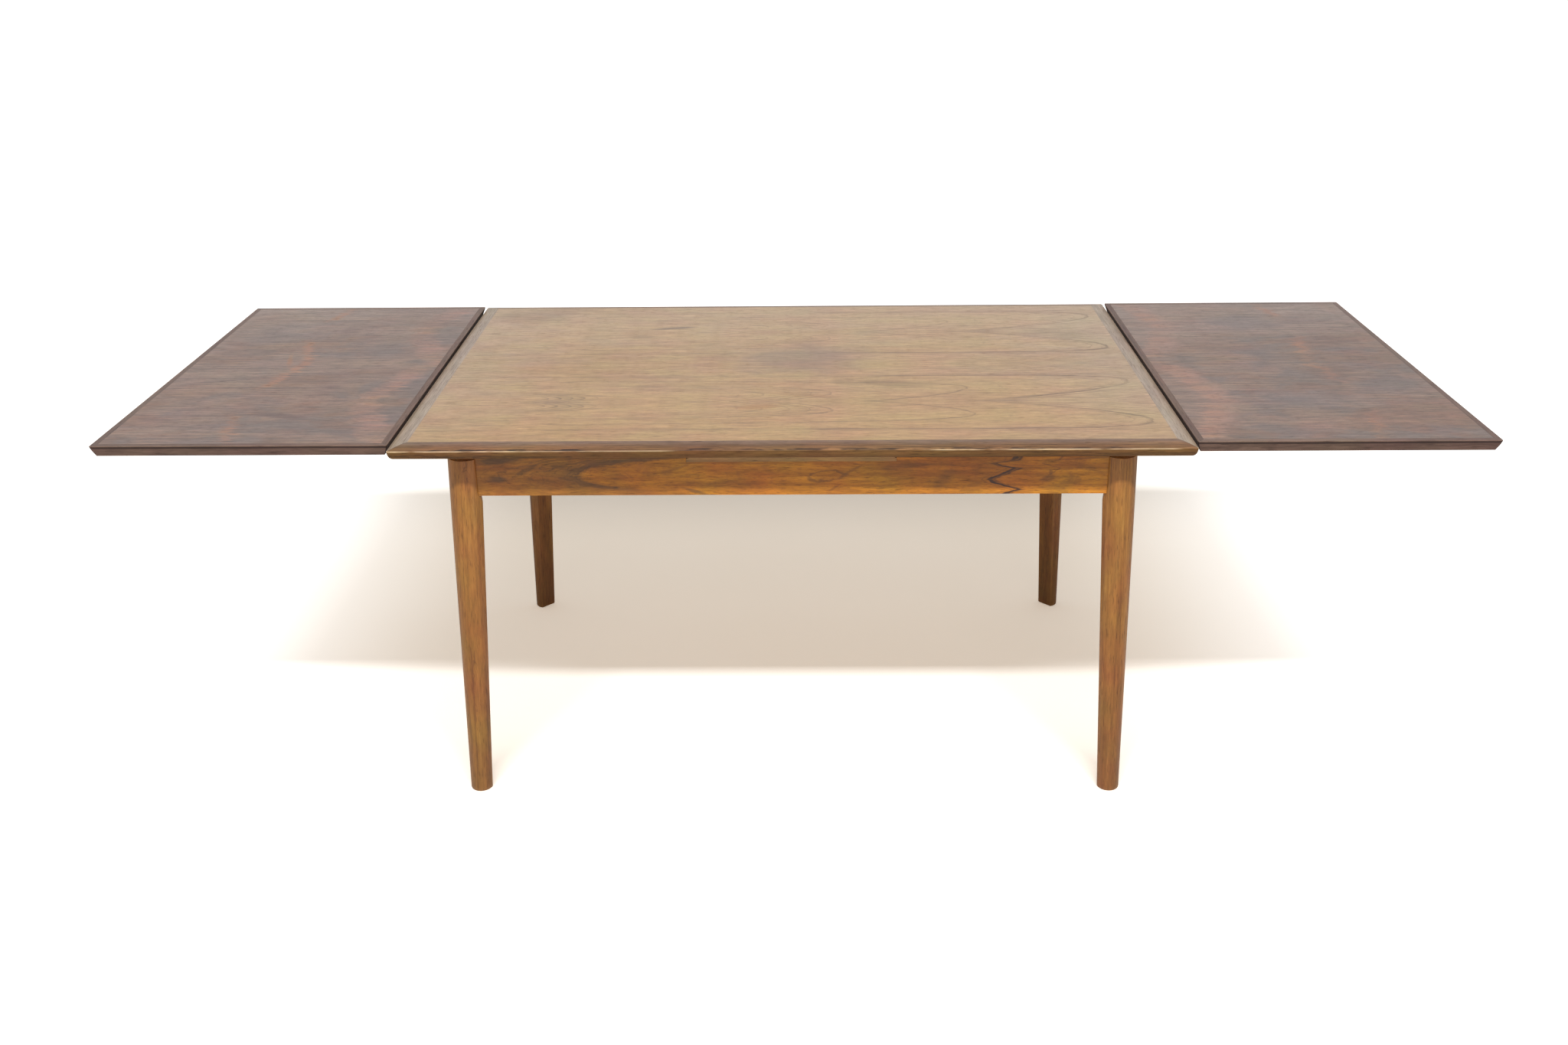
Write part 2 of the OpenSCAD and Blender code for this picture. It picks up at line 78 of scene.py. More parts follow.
class Finish:
    """One finish being mixed: every call adds a step of the recipe and gives back what comes out of it.
    In each recipe below, f is the finish and g the figure of its wood."""

    def __init__(self, name):
        self.material = bpy.data.materials.new(name)
        self.material.use_nodes = True
        self.tree = self.material.node_tree
        self.shader = self.tree.nodes["Principled BSDF"]

    def feed(self, socket, value):
        """Set a socket to a fixed number or colour, or link it to what varies."""
        if isinstance(value, Level):
            self.tree.links.new(value.socket, socket)
        elif socket.type == "RGBA":
            socket.default_value = (*value[:3], 1.0)
        else:
            socket.default_value = value

    def add(self, kind, feeds, out=0, **settings):
        """One step: its kind, what feeds each of its sockets, and which of its outputs is taken."""
        node = self.tree.nodes.new("ShaderNode" + kind)
        for key, value in settings.items():
            setattr(node, key, value)
        for key, value in feeds.items():
            self.feed(node.inputs[key], value)
        return Level(self, node.outputs[out])

    def calc(self, operation, first, second=0.0):
        """One step of arithmetic, called by its name."""
        return self.add("Math", {0: first, 1: second}, operation=operation)

    def axes(self, place):
        """The three coordinates of a place."""
        node = self.add("SeparateXYZ", {0: place}).socket.node
        return [Level(self, socket) for socket in node.outputs]

    def point(self, x, y, z=0.0):
        """The place with these coordinates."""
        return self.add("CombineXYZ", {0: x, 1: y, 2: z})

    def own(self, key, out="Vector"):
        """What a piece carries under this name at each of its points."""
        return self.add("Attribute", {}, out, attribute_name=key)

    def noise(self, place, scale=1.0, detail=2.0, rough=0.5, twist=0.0):
        """Noise between 0 and 1: detail is how many finer layers it has, rough how strong these are, and
        twist how far it is bent out of its way."""
        return self.add("TexNoise", {"Vector": place, "Scale": scale, "Detail": detail, "Roughness": rough,
                                     "Distortion": twist})

    def stretch(self, place, along, across, shift=(0.0, 0.0, 0.0)):
        """A place at which noise is drawn out along the grain: a higher number is finer detail that way."""
        return self.add("Mapping", {"Vector": place, "Scale": (along, across, across), "Location": shift})

    def step(self, x, low, high, top=1.0):
        """0 on the outer side of low, top on the outer side of high, and a smooth change between them."""
        return self.add("MapRange", {0: x, 1: low, 2: high, 3: 0.0, 4: top}, interpolation_type="SMOOTHSTEP")

    def within(self, x, low, high, soft):
        """1 between low and high and 0 outside them, each end twice the soft width long."""
        return self.step(x, low - soft, low + soft) * (1.0 - self.step(x, high - soft, high + soft))

    def near(self, x, half, soft, top=1.0):
        """top where x lies within half of 0, falling to 0 over the soft width beyond."""
        return top - self.step(abs(x), half, half + soft, top)

    def spot(self, place, at, size, turn, ragged):
        """1 in the middle of an oval patch and 0 outside it, with an edge torn by the ragged noise."""
        local = self.add("Mapping", {"Vector": place, "Location": (*at, 0.0), "Rotation": (0.0, 0.0, turn),
                                     "Scale": (*size, 1000.0)}, vector_type="TEXTURE")
        away = self.add("VectorMath", {0: local}, "Value", operation="LENGTH") + (ragged - 0.5) * 1.6
        return 1.0 - self.step(away, 0.35, 1.2)

    def blend(self, how_much, under, over):
        """The colour over laid on the colour under: how_much is 0 for under alone and 1 for over alone."""
        return self.add("Mix", {0: how_much, 6: under, 7: over}, 2, data_type="RGBA")

    def patched(self, place, under, ragged, patches):
        """Torn oval patches on a colour, each its middle, half lengths, turn, strength and colour."""
        for at, size, turn, strength, tint in patches:
            under = self.blend(self.spot(place, at, size, turn, ragged) * strength, under, seen(*tint))
        return under

    def shades(self, x, *stops):
        """A row of colours, each given with where it lies between 0 and 1."""
        row = self.add("ValToRGB", {0: x})
        ramp = row.socket.node.color_ramp.elements
        while len(ramp) < len(stops):
            ramp.new(0.5)
        for stop, (at, colour) in zip(ramp, stops):
            stop.position = at
            stop.color = (*colour, 1.0)
        return row


class Figure:
    """The figure of one board, read off its growth rings.

    The distance from the heart of the log is the root of (across squared + depth squared). The heart
    drifts across the board on a shallow curve, and the depth grows steadily along it, so the rings are
    cut as nested arches. The slope, how fast that distance changes over the surface, keeps a ring's line
    equally thin where it runs along the board and where it turns. Streaks, fibres and pores are noise
    drawn out along the grain. heart is where the heart starts, its drift and the drift's curve, depth how
    deep it lies and how fast that grows, pitch the width of a ring, and bend and waver how far slow and
    quick waves push the rings. The calm distance is the one without the quick waves.
    """

    def __init__(self, f, place, heart, depth, pitch, bend, waver, shift=(0.0, 0.0, 0.0)):
        self.along, self.across, through = f.axes(place)
        self.place = f.add("Mapping", {"Vector": place, "Location": shift})
        slow = f.noise(f.stretch(self.place, 1.6, 7.0))
        wobble = f.noise(f.stretch(self.place, 10.0, 40.0))
        self.quiver = f.noise(f.stretch(self.place, 60.0, 130.0), 1.0, 1.0)
        side = self.across - ((self.along * heart[2] + heart[1]) * self.along + heart[0])
        down = through + (self.along * depth[1] + depth[0]) + (slow - 0.5) * (2 * bend)
        self.calm = (side * side + down * down) ** 0.5
        self.radius = self.calm + (wobble - 0.5) * (2 * waver) + (self.quiver - 0.5) * (0.8 * waver)
        self.slope = (side * side + (down * depth[1]) ** 2.0) ** 0.5 / self.calm + 0.03
        count = self.radius / pitch
        close = f.calc("PINGPONG", count, 0.5) * pitch / self.slope
        luck = f.add("TexWhiteNoise", {"W": f.calc("ROUND", count)}, "Value", noise_dimensions="1D")
        self.line = (1.0 - f.step(close, 0.0002, 0.0011)) * luck ** 1.5
        self.streak = f.noise(f.stretch(self.place, 2.2, 85.0), 1.0, 5.0, 0.62)
        self.fibre = f.noise(f.stretch(self.place, 24.0, 800.0), 1.0, 2.0, 0.6)
        self.cloud = f.noise(f.stretch(self.place, 2.6, 6.5, (3.1, 1.7, 0.4)), 1.0, 3.0, 0.55)
        self.mottle = f.noise(f.stretch(self.place, 20.0, 150.0, (1.0, 0.5, 0.2)), 1.0, 4.0, 0.7)
        flecks = f.noise(f.stretch(self.place, 100.0, 420.0, (2.0, 0.0, 3.0)), 1.0, 1.0)
        self.fleck = f.step(flecks, 0.56, 0.7)
        self.blush = f.noise(f.stretch(self.place, 9.0, 14.0, (7.0, 0.3, 0.0)), 1.0, 2.0)
        pores = f.noise(f.stretch(self.place, 40.0, 800.0, (0.0, 2.0, 5.0)), 1.0, 1.0, 0.4)
        self.pore = f.step(pores, 0.62, 0.72)


def oiled(f, figure, colour, rough, gloss=0.5, tooth=0.00012, lively=0.6):
    """An oiled satin surface: mottled, rougher in the pores, and with the grain just felt under a finger.
    tooth is the height of that grain in metres, and lively how strong the mottle is."""
    hue = (figure.blush - 0.5) * 0.05 + 0.5
    value = (figure.mottle - 0.5) * (2 * lively) + 1.0
    mottled = f.add("HueSaturation", {"Color": colour, "Hue": hue, "Value": value})
    f.feed(f.shader.inputs["Base Color"], mottled)
    f.shader.inputs["Specular IOR Level"].default_value = gloss
    f.feed(f.shader.inputs["Roughness"], (figure.cloud - 0.5) * 0.16 + figure.pore * 0.2 + rough)
    height = figure.fibre * 0.5 - figure.pore * 0.8
    f.feed(f.shader.inputs["Normal"], f.add("Bump", {"Height": height, "Distance": tooth, "Strength": 0.6}))
    return f.material


def leg_finish():
    """The grain runs up the leg. The flat face is darker, partly as unfaded wood and partly as painted shade;
    the foot is darker and rubbed edges paler.
    """
    f = Finish("leg_rosewood")
    g = Figure(f, f.own("grain"), heart=(0.012, 0.0, 0.0), depth=(0.06, 0.03), pitch=0.0034, bend=0.008,
               waver=0.003)
    colour = f.shades(g.streak, (0.28, seen(106, 62, 24)), (0.44, seen(142, 93, 36)),
                      (0.56, seen(156, 105, 44)), (0.74, seen(176, 125, 62)))
    colour = f.blend(f.step(g.cloud, 0.4, 0.68, 0.55), colour, seen(142, 86, 38))
    colour = f.blend(g.line * 0.6, colour, seen(88, 50, 24))
    # The flat face looks in under the table: its darkening is partly unfaded wood and partly painted shade.
    colour = f.blend(f.near(f.own("planed", "Fac") - 1.0, 0.3, 0.4, 0.25), colour, seen(100, 60, 26))
    colour = f.blend(g.fibre * 0.35, colour, seen(112, 70, 34))
    colour = f.blend(g.pore * 0.6, colour, seen(66, 38, 20))
    colour = f.blend(f.own("wear", "Fac") * 0.4, colour, seen(190, 138, 82))
    height = f.axes(f.add("TexCoord", {}, "Object"))[2]
    colour = f.blend(f.step(height, 0.34, 0.0, 0.36), colour, seen(96, 60, 34))
    return oiled(f, g, colour, 0.46, 0.4)


def skinned(name, rows, material, body, slot, replaced, **about):
    """Rows of points joined into one closed skin: point j of a row meets point j of the next row, the
    last point of a row meets its first, and the first and last rows are each filled flat. Faces are
    turned outwards by the sign of the volume: the sum, over the triangles that the faces split into, of
    the first corner times the cross product of the other two."""
    count, length = rows.shape[:2]
    points = rows.reshape(-1, 3)
    row, column = np.meshgrid(np.arange(count - 1), np.arange(length), indexing="ij")
    here = row * length + column
    beside = row * length + (column + 1) % length
    quads = np.stack([here, beside, beside + length, here + length], -1).reshape(-1, 4)
    first, second, third, fourth = np.moveaxis(points[quads], 1, 0)
    volume = (first * (np.cross(second, third) + np.cross(third, fourth))).sum()
    caps = [list(range(length))[::-1], list(range((count - 1) * length, count * length))]
    for cap in caps:
        rim = points[cap]
        volume += (rim[0] * np.cross(rim[1:-1], rim[2:])).sum()
    faces = quads.tolist() + caps
    if volume < 0:
        faces = [face[::-1] for face in faces]
    mesh = bpy.data.meshes.new(name)
    mesh.from_pydata(points.tolist(), [], faces)
    for key, value in about.items():
        value = np.asarray(value, np.float32)
        kind, field = ("FLOAT_VECTOR", "vector") if value.ndim == 3 else ("FLOAT", "value")
        mesh.attributes.new(key, kind, "POINT").data.foreach_set(field, value.ravel())
    mesh.shade_smooth()
    mesh.set_sharp_from_angle(angle=math.radians(38))
    mesh.materials.append(material)
    mesh.update()
    piece = bpy.data.objects.new(name, mesh)
    bpy.context.scene.collection.objects.link(piece)
    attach(piece, body)
    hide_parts(*replaced)


FOOT = (0.6117, 0.3844)
LEAN = (0.042, 0.034)
FOOT_RADIUS = 0.0214
RADIUS_GAIN = 0.0094
FOOT_FLAT = 0.012
FLAT_GAIN = 0.0068
FOOT_EASE = 0.0026
LEG_TOP = 0.6885
APRON_LOW = 0.6175
APRON_END = (0.5614, 0.3304)
RUN_OUT_LOW = 0.601
INWARD = math.radians(225)


def leg_rows():
    """A leg at +X +Y. Its axis starts at FOOT and leans in by LEAN for each metre up. At each height the
    section is a circle round the axis, widening by RADIUS_GAIN in all, cut by a line across the inward
    diagonal and, from the run-out up, by the lines along both aprons' ends. Seen from the
    axis, its edge lies at the least of the circle's radius and each cutting line's distance over the
    cosine of the angle to it. A high power mean of these eases the corners. wear is high along the flat
    face's edges and at the foot, planed is 1 on the flat face, and grain runs up the leg."""
    z = np.concatenate([[0, 0.0004, 0.0012, FOOT_EASE], np.linspace(0.01, 0.59, 30),
                        [0.597, RUN_OUT_LOW - 1e-4, RUN_OUT_LOW + 1e-4],
                        np.linspace(0.603, APRON_LOW - 1e-5, 9), [APRON_LOW],
                        np.linspace(0.62, LEG_TOP, 8)])[:, None]
    radius = FOOT_RADIUS + RADIUS_GAIN * z / LEG_TOP
    flat = FOOT_FLAT + FLAT_GAIN * z / LEG_TOP
    open_angle = np.arccos(flat / radius)
    across = np.linspace(-1, 1, 33)[None, :-1]
    rim = np.linspace(0, 1, 129)[None, :-1]
    rim = rim - 0.012 * np.sin(2 * math.pi * 2 * rim)
    turn = np.concatenate([across * open_angle, open_angle + rim * (2 * math.pi - 2 * open_angle)], 1)
    angle = INWARD + turn
    x0, y0 = FOOT[0] - LEAN[0] * z, FOOT[1] - LEAN[1] * z
    eased = np.clip(1 - z / FOOT_EASE, 0, 1) ** 2
    far = 10.0
    low_cut, cut_gain = 0.0044, 0.0023
    run = (z - RUN_OUT_LOW) / 0.0175
    run_out = [np.where(z >= RUN_OUT_LOW, end - low_cut + cut_gain * run, axis - far)
               for end, axis in zip(APRON_END, (x0, y0))]
    cut_x, cut_y = [np.where(z >= APRON_LOW, end, cut) for end, cut in zip(APRON_END, run_out)]
    limits = [radius - 0.0016 * eased + 0 * angle]
    for away, toward in ((flat - 0.0012 * eased, INWARD), (x0 - cut_x, math.pi), (y0 - cut_y, 1.5 * math.pi)):
        facing = np.cos(angle - toward)
        limits.append(np.where(facing > 1e-3, away / np.maximum(facing, 1e-3), far))
    keen, typical = 70.0, 0.03
    reach = np.power(sum(np.power(limit / typical, -keen) for limit in limits), -1 / keen) * typical
    rows = np.stack([x0 + reach * np.cos(angle), y0 + reach * np.sin(angle), z + 0 * angle], -1)
    off = np.minimum(np.abs(turn - open_angle), np.abs(turn - 2 * math.pi + open_angle))
    off = np.minimum(off, np.abs(turn + open_angle)) * radius
    wear = np.exp(-(off / 0.0016) ** 2) * 0.7 + np.exp(-(z / 0.003) ** 2)
    planed = (np.cos(turn) * radius > flat * 0.995) * np.ones_like(angle)
    grain = np.stack([z + 0 * angle, reach * np.cos(angle), reach * np.sin(angle)], -1)
    return rows, np.clip(wear, 0, 1), planed, grain


rosewood_leg = leg_finish()
CORNERS = (("front_left", -1, -1), ("front_right", 1, -1), ("back_left", -1, 1), ("back_right", 1, 1))
rows, wear, planed, grain = leg_rows()
for number, (name, x_way, y_way) in enumerate(CORNERS):
    another_log = np.array((0.9, 0.2, 0.31)) * number
    skinned("leg_" + name + "_turned", rows * (x_way, y_way, 1), rosewood_leg, "frame", "leg",
            ["leg_" + name], wear=wear, planed=planed, grain=grain * (1, x_way, y_way) + another_log)

# Aprons: boards veneered in rosewood with a lively figure, glued between the legs. The end ones
# are notched for the sliding runners. Golden arches open out of a smoky swirl at one end, and
# a black zigzag line of gum crosses the grain near the other.

APRON_MIDDLE = 0.653
LONG_FACE = 0.3798
END_FACE = 0.6022


def drawn_rings(f, figure, shake, *rings):
    """The rings that stand out as dark lines: each is its radius, its width and its strength. The shake is
    added to the distance from the heart, and the sum is taken back to a width by the slope. A ring darkens
    softly from the inside over its width and ends sharply over a third of it."""
    marks = None
    for radius, width, dark in rings:
        off = (figure.calm + shake - radius) / figure.slope
        mark = f.step(off, -width, 0.0, dark) * (1.0 - f.step(off, 0.0, width * 0.35))
        marks = mark if marks is None else f.calc("MAXIMUM", marks, mark)
    return marks


def apron_finish(name, axis, way, face, shift, zigzag=True):
    """axis is the one the board runs along, way its direction there, and face how far out its outer face
    is. The front one alone has the zigzag."""
    f = Finish(name)
    x, y, z = f.axes(f.add("TexCoord", {}, "Object"))
    along, out = (x, y) if axis == "x" else (y, x)
    place = f.point(along * way, z - APRON_MIDDLE, abs(out) * -1.0 + face)
    g = Figure(f, place, heart=(0.003, 0.0, 0.0), depth=(0.028, -0.07), pitch=0.0034, bend=0.003,
               waver=0.0016, shift=shift)
    colour = f.shades(g.streak, (0.26, seen(128, 72, 14)), (0.44, seen(162, 99, 18)),
                      (0.58, seen(180, 115, 24)), (0.78, seen(200, 136, 38)))
    curl = f.noise(f.stretch(g.place, 16.0, 30.0, (0.3, 0.9, 0.1)), 1.0, 4.0, 0.62, 1.2)
    colour = f.blend(f.step(g.cloud, 0.45, 0.7, 0.5), colour, seen(140, 80, 26))
    colour = f.blend(f.step(curl, 0.5, 0.68, 0.45), colour, seen(110, 66, 26))
    # Painted light: the lower band of the apron is lightened where the lamp reaches in under the main top's
    # shadow.
    colour = f.blend(f.step(g.across, -0.012, -0.026, 0.28), colour, seen(214, 140, 40))
    colour = f.patched(place, colour, curl, (((0.28, 0.012), (0.17, 0.034), 0.0, 0.35, (116, 62, 12)),))
    arch = g.radius + (curl - 0.5) * 0.006
    side = 1.0 - f.step(g.along, -0.34, -0.1, 0.6)
    colour = f.blend(f.step(arch, 0.0525, 0.057, 0.45) * side, colour, seen(112, 76, 38))
    arcs = drawn_rings(f, g, (curl - 0.5) * 0.008, (0.0533, 0.002, 0.5), (0.0556, 0.0055, 1.0),
                       (0.0572, 0.003, 0.7), (0.0588, 0.0022, 0.7), (0.0604, 0.0036, 0.8),
                       (0.0622, 0.0026, 0.7), (0.0645, 0.0036, 0.8), (0.0668, 0.003, 0.6))
    upper = f.step(g.across, -0.024, 0.006)
    colour = f.blend(arcs * side * (curl + 0.1) * (upper * 0.65 + 0.35), colour, seen(62, 42, 28))
    smoke = f.near(arch - 0.0562, 0.0004, 0.0022) * f.within(g.along, -0.42, -0.3, 0.05)
    colour = f.blend(smoke * 0.6, colour, seen(64, 46, 34))
    soot, umber = (64, 50, 34), (96, 58, 26)
    colour = f.patched(place, colour, curl, (
        ((-0.515, 0.033), (0.05, 0.009), 0.1, 0.8, soot), ((-0.47, 0.014), (0.03, 0.006), 0.5, 0.4, soot),
        ((-0.524, -0.004), (0.022, 0.008), 0.0, 0.8, soot), ((-0.3, 0.031), (0.12, 0.004), 0.05, 0.5, soot),
        ((-0.17, -0.029), (0.03, 0.004), -0.3, 0.6, soot),
        ((-0.314, -0.021), (0.007, 0.0015), 0.0, 0.9, soot)))
    eye = f.spot(place, (0.062, 0.0), (0.036, 0.011), 0.1, curl)
    colour = f.blend(f.near(eye - 0.45, 0.06, 0.25, 0.6), colour, seen(96, 60, 26))
    colour = f.patched(place, colour, curl, (
        ((0.11, 0.012), (0.03, 0.003), 0.5, 0.5, umber), ((0.075, -0.024), (0.016, 0.003), 0.6, 0.5, umber),
        ((0.2, 0.018), (0.05, 0.006), 0.1, 0.5, umber), ((0.27, -0.008), (0.03, 0.012), 0.9, 0.5, umber)))
    if zigzag:
        level = (g.across + 0.0355) / 0.0745
        turns = ((0.0, 0.55), (0.04, 0.6), (0.115, 0.98), (0.28, 0.2), (0.37, 0.0), (0.66, 0.8),
                 (0.74, 0.2), (0.79, 0.02), (0.86, 0.72), (1.0, 0.9))
        path = f.shades(level, *[(at, (to_the_right,) * 3) for at, to_the_right in turns])
        off = g.along - (path * 0.054 + 0.352) + (g.quiver - 0.5) * 0.01 + (curl - 0.5) * 0.014
        thick = f.noise(f.stretch(place, 60.0, 60.0)) * 0.003
        colour = f.blend(f.near(off - thick * 2.0, 0.003, 0.009, 0.5), colour, seen(72, 46, 30))
        faint = 1.0 - f.within(level, 0.72, 0.88, 0.04) * 0.5
        ink = f.near(off, 0.002, 0.0045) * (g.mottle * 0.9 + 0.5) * faint
        colour = f.blend(ink, colour, seen(32, 22, 24))
        again = f.near(off - 0.009 + (g.mottle - 0.5) * 0.02, 0.0008, 0.0035, 0.8) * f.step(level, 0.25, 0.5)
        colour = f.blend(again, colour, seen(52, 34, 26))
        colour = f.blend(f.near(off + 0.014, 0.0005, 0.003, 0.4), colour, seen(92, 58, 28))
        beyond = g.along - (path * 0.04 + 0.444) + (g.quiver - 0.5) * 0.012
        beyond = f.near(beyond, 0.0006, 0.003) * f.step(level, 0.3, 0.7, 0.6)
        colour = f.blend(beyond, colour, seen(84, 52, 28))
        bark = (80, 50, 28)
        colour = f.patched(place, colour, curl, (
            ((0.455, -0.006), (0.014, 0.008), 0.2, 0.55, bark),
            ((0.46, 0.006), (0.004, 0.005), 0.0, 0.55, bark),
            ((0.52, 0.032), (0.07, 0.003), 0.06, 0.55, bark)))
    colour = f.blend(g.fleck * 0.4, colour, seen(104, 62, 22))
    colour = f.blend(g.fibre * 0.3, colour, seen(118, 68, 20))
    colour = f.blend(g.pore * 0.6, colour, seen(64, 38, 20))
    return oiled(f, g, colour, 0.46, 0.4, lively=0.75)


def dress(node, material):
    """A CAD node that keeps its own shape and takes this finish."""
    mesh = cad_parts[node].data
    mesh.materials.clear()
    mesh.materials.append(material)


dress("apron_front", apron_finish("apron_front_veneer", "x", 1.0, LONG_FACE, (0.0, 0.0, 0.0)))
dress("apron_back", apron_finish("apron_back_veneer", "x", -1.0, LONG_FACE, (2.0, 0.4, 0.0), False))
dress("apron_left", apron_finish("apron_left_veneer", "y", 1.0, END_FACE, (4.0, 0.1, 0.0), False))
dress("apron_right", apron_finish("apron_right_veneer", "y", -1.0, END_FACE, (6.0, 0.8, 0.0), False))

# Cross rails, corner blocks, runners, stop pegs and guide pegs: plain planed hardwood that shows
# only from below. The rails are screwed under the centre board and housed in the long aprons.


def inner_finish(name, turn, shift=(0.0, 0.0, 0.0)):
    """turn lays the grain along the piece, and shift moves to another part of the log."""
    f = Finish(name)
    place = f.add("Mapping", {"Vector": f.add("TexCoord", {}, "Object"), "Rotation": turn, "Location": shift})
    g = Figure(f, place, heart=(0.02, 0.0, 0.0), depth=(0.09, 0.03), pitch=0.0035, bend=0.006, waver=0.003)
    colour = f.shades(g.streak, (0.3, seen(170, 126, 80)), (0.5, seen(194, 152, 102)),
                      (0.72, seen(210, 172, 124)))
    colour = f.blend(f.step(g.cloud, 0.4, 0.7, 0.4), colour, seen(178, 132, 84))
    colour = f.blend(g.line * 0.4, colour, seen(146, 100, 60))
    colour = f.blend(g.fibre * 0.25, colour, seen(162, 118, 74))
    colour = f.blend(g.pore * 0.4, colour, seen(114, 76, 46))
    return oiled(f, g, colour, 0.55, 0.4, 0.0002)


planed_long = inner_finish("planed_hardwood_along", (0.0, 0.0, 0.0))
planed_cross = inner_finish("planed_hardwood_across", (0.0, 0.0, math.pi / 2), (0.4, 0.0, 0.0))
planed_upright = inner_finish("planed_hardwood_upright", (0.0, math.pi / 2, 0.0), (0.0, 0.3, 0.0))
for side in ("left", "right"):
    dress("cross_rail_" + side, planed_cross)
    dress("stop_pegs_" + side, planed_cross)
    for end in ("front", "back"):
        dress(f"block_{end}_{side}", planed_upright)
        dress(f"runner_{side}_{end}", planed_long)
dress("guide_pegs", planed_upright)

# Fixings: zinc plated hanger bolts with nuts and washers through the corner blocks, and wood
# screws that hold the centre board and the leaves.


def zinc_finish():
    """Grey metal, cloudy in colour and shine, with a fine spangle in its bump."""
    f = Finish("zinc_plate")
    place = f.add("TexCoord", {}, "Object")
    dull = f.noise(place, 260.0, 4.0, 0.6)
    colour = f.shades(dull, (0.3, seen(150, 150, 146)), (0.55, seen(182, 182, 176)),
                      (0.75, seen(200, 198, 188)))
    f.feed(f.shader.inputs["Base Color"], colour)
    f.shader.inputs["Metallic"].default_value = 1.0
    f.feed(f.shader.inputs["Roughness"], dull * 0.25 + 0.28)
    spangle = f.add("Bump", {"Height": f.noise(place, 1400.0), "Distance": 0.00008, "Strength": 0.5})
    f.feed(f.shader.inputs["Normal"], spangle)
    return f.material


zinc = zinc_finish()
for node in ("hanger_bolts", "washers", "nuts", "board_screws", "runner_screws_left", "runner_screws_right"):
    dress(node, zinc)

# Centre board: the fixed board under the main top, notched into the long aprons. Its veneer is
# duller than theirs, and its rebated sides leave a thin sloping lip.

BOARD_TOP = 0.711
SHEET_WIDE = 0.19


def board_finish():
    """Sheets of veneer, folded over like the pages of a book every SHEET_WIDE across the board."""
    f = Finish("centre_board_veneer")
    along, across, through = f.axes(f.add("TexCoord", {}, "Object"))
    place = f.point(along, f.calc("PINGPONG", across, SHEET_WIDE), through - BOARD_TOP)
    g = Figure(f, place, heart=(0.1, 0.02, 0.0), depth=(0.1, 0.08), pitch=0.005, bend=0.008, waver=0.003,
               shift=(8.0, 0.0, 0.0))
    colour = f.shades(g.streak, (0.3, seen(120, 84, 40)), (0.5, seen(152, 111, 58)),
                      (0.7, seen(170, 129, 74)))
    colour = f.blend(g.line * 0.5, colour, seen(78, 54, 34))
    colour = f.blend(g.fibre * 0.25, colour, seen(112, 80, 48))
    colour = f.blend(g.pore * 0.5, colour, seen(60, 42, 28))
    return oiled(f, g, colour, 0.45)


dress("centre_board", board_finish())

# Main top, field: four leaves of faded rosewood veneer opened like a book, their arches pointing
# to the right. It lies loose on the centre board.

TABLE_TOP = 0.735
MIDDLE_SEAM = 0.0035
SEAM_APART = 0.2185


